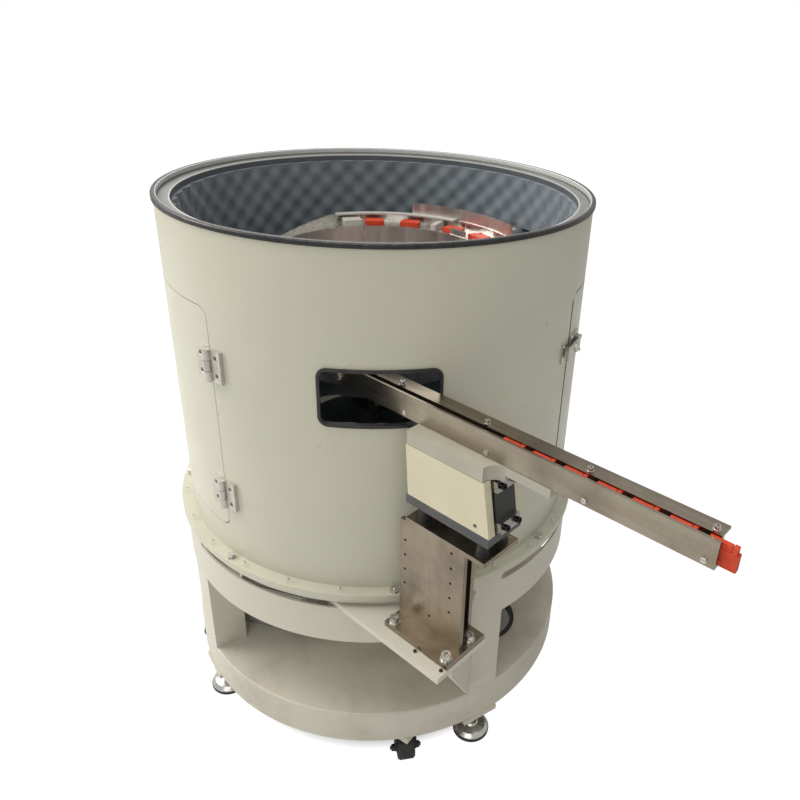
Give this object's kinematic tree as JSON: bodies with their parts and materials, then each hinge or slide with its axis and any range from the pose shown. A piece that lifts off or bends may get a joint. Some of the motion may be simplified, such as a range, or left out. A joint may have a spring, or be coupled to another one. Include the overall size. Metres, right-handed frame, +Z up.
{
  "type": "vibratory bowl feeder",
  "caption": "Vibratory bowl feeder in a round foam-lined sound enclosure on a pedestal base with casters, with an in-line vibratory track on a side shelf.",
  "frame": {"origin": "on the bowl's axis at floor level, centred between the four feet", "axes": "+Z up along the bowl's axis, +X along the in-line track towards its outlet"},
  "size_m": [1.2749, 0.846, 1.075],
  "materials": {
    "sheet_paint": "satin",
    "rim_paint": "satin",
    "foam": "matt",
    "black_rubber": "matt",
    "wheel_rubber": "satin",
    "caster_paint": "satin",
    "box_paint": "satin",
    "cover_paint": "satin",
    "arm_paint": "satin",
    "block_paint": "satin",
    "casting": "rough",
    "warm_steel": "brushed",
    "zinc": "bright",
    "diecast": "satin",
    "leaf": "satin",
    "coil": "taped",
    "pale_plastic": "matt",
    "orange_plastic": "moulded"
  },
  "bodies": {
    "machine": {"base_drum": "sheet_paint", "cable_grommet": "black_rubber", "controller_box": "box_paint", "foot_studs": "zinc", "foot_pads": "black_rubber", "caster_mounts": "zinc", "deck_plate": "sheet_paint", "flange_bolts": "zinc", "enclosure_shell": "sheet_paint", "rim_plate": "rim_paint", "rim_trim": "black_rubber", "window_trim": "black_rubber", "foam_lining": "foam", "frame_hinge_leaves": "diecast", "hinge_pins": "zinc", "latch_keepers": "diecast", "track_shelf": "sheet_paint", "track_bracket": "warm_steel", "bracket_bolts": "zinc", "rubber_mounts": "black_rubber", "drive_base": "block_paint", "drive_covers": "cover_paint", "drive_springs": "leaf", "spring_clamps": "zinc", "drive_coil": "coil", "drive_arm": "arm_paint", "front_rail": "warm_steel", "back_rail": "warm_steel", "rail_cover": "warm_steel", "rail_fasteners": "zinc", "fed_parts": "orange_plastic", "bowl": "warm_steel", "bowl_track": "warm_steel", "bowl_guides": "warm_steel", "bowl_blocks": "pale_plastic", "unit_base": "casting", "unit_springs": "leaf", "unit_top": "casting", "unit_coil": "coil", "centre_bolt": "zinc"},
    "left_door": {"left_door": "sheet_paint", "left_door_foam": "foam", "left_hinge_leaves": "diecast", "left_latch_base": "diecast"},
    "left_lever": {"left_latch_lever": "diecast"},
    "right_door": {"right_door": "sheet_paint", "right_door_foam": "foam", "right_hinge_leaves": "diecast", "right_latch_base": "diecast"},
    "right_lever": {"right_latch_lever": "diecast"},
    "fork_1": {"caster_fork_1": "caster_paint"},
    "wheel_1": {"caster_wheel_1": "wheel_rubber"},
    "fork_2": {"caster_fork_2": "caster_paint"},
    "wheel_2": {"caster_wheel_2": "wheel_rubber"},
    "fork_3": {"caster_fork_3": "caster_paint"},
    "wheel_3": {"caster_wheel_3": "wheel_rubber"},
    "fork_4": {"caster_fork_4": "caster_paint"},
    "wheel_4": {"caster_wheel_4": "wheel_rubber"}
  },
  "joints": [
    {"name": "left_door_hinge", "type": "hinge", "parent": "machine", "child": "left_door", "pos_m": [0.02487, -0.40664, 0.7125], "axis": [0, 0, 1], "range_deg": [0, 110]},
    {"name": "right_door_hinge", "type": "hinge", "parent": "machine", "child": "right_door", "pos_m": [0.10887, 0.39258, 0.7125], "axis": [0, 0, 1], "range_deg": [0, 110]},
    {"name": "left_latch", "type": "hinge", "parent": "left_door", "child": "left_lever", "pos_m": [-0.31842, -0.25633, 0.831], "axis": [0, 0, 1], "range_deg": [0, 110]},
    {"name": "right_latch", "type": "hinge", "parent": "right_door", "child": "right_lever", "pos_m": [0.38452, 0.13869, 0.831], "axis": [0, 0, 1], "range_deg": [0, 110]},
    {"name": "swivel_1", "type": "hinge", "parent": "machine", "child": "fork_1", "pos_m": [0.30949, -0.22901, 0.045], "axis": [0, 0, 1], "continuous": true},
    {"name": "roll_1", "type": "hinge", "parent": "fork_1", "child": "wheel_1", "pos_m": [0.32074, -0.23733, 0.0275], "axis": [0.5948, 0.8039, 0], "continuous": true},
    {"name": "swivel_2", "type": "hinge", "parent": "machine", "child": "fork_2", "pos_m": [0.22901, 0.30949, 0.045], "axis": [0, 0, 1], "continuous": true},
    {"name": "roll_2", "type": "hinge", "parent": "fork_2", "child": "wheel_2", "pos_m": [0.23733, 0.32074, 0.0275], "axis": [-0.8039, 0.5948, 0], "continuous": true},
    {"name": "swivel_3", "type": "hinge", "parent": "machine", "child": "fork_3", "pos_m": [-0.30949, 0.22901, 0.045], "axis": [0, 0, 1], "continuous": true},
    {"name": "roll_3", "type": "hinge", "parent": "fork_3", "child": "wheel_3", "pos_m": [-0.32074, 0.23733, 0.0275], "axis": [-0.5948, -0.8039, 0], "continuous": true},
    {"name": "swivel_4", "type": "hinge", "parent": "machine", "child": "fork_4", "pos_m": [-0.22901, -0.30949, 0.045], "axis": [0, 0, 1], "continuous": true},
    {"name": "roll_4", "type": "hinge", "parent": "fork_4", "child": "wheel_4", "pos_m": [-0.23733, -0.32074, 0.0275], "axis": [0.8039, -0.5948, 0], "continuous": true}
  ]
}
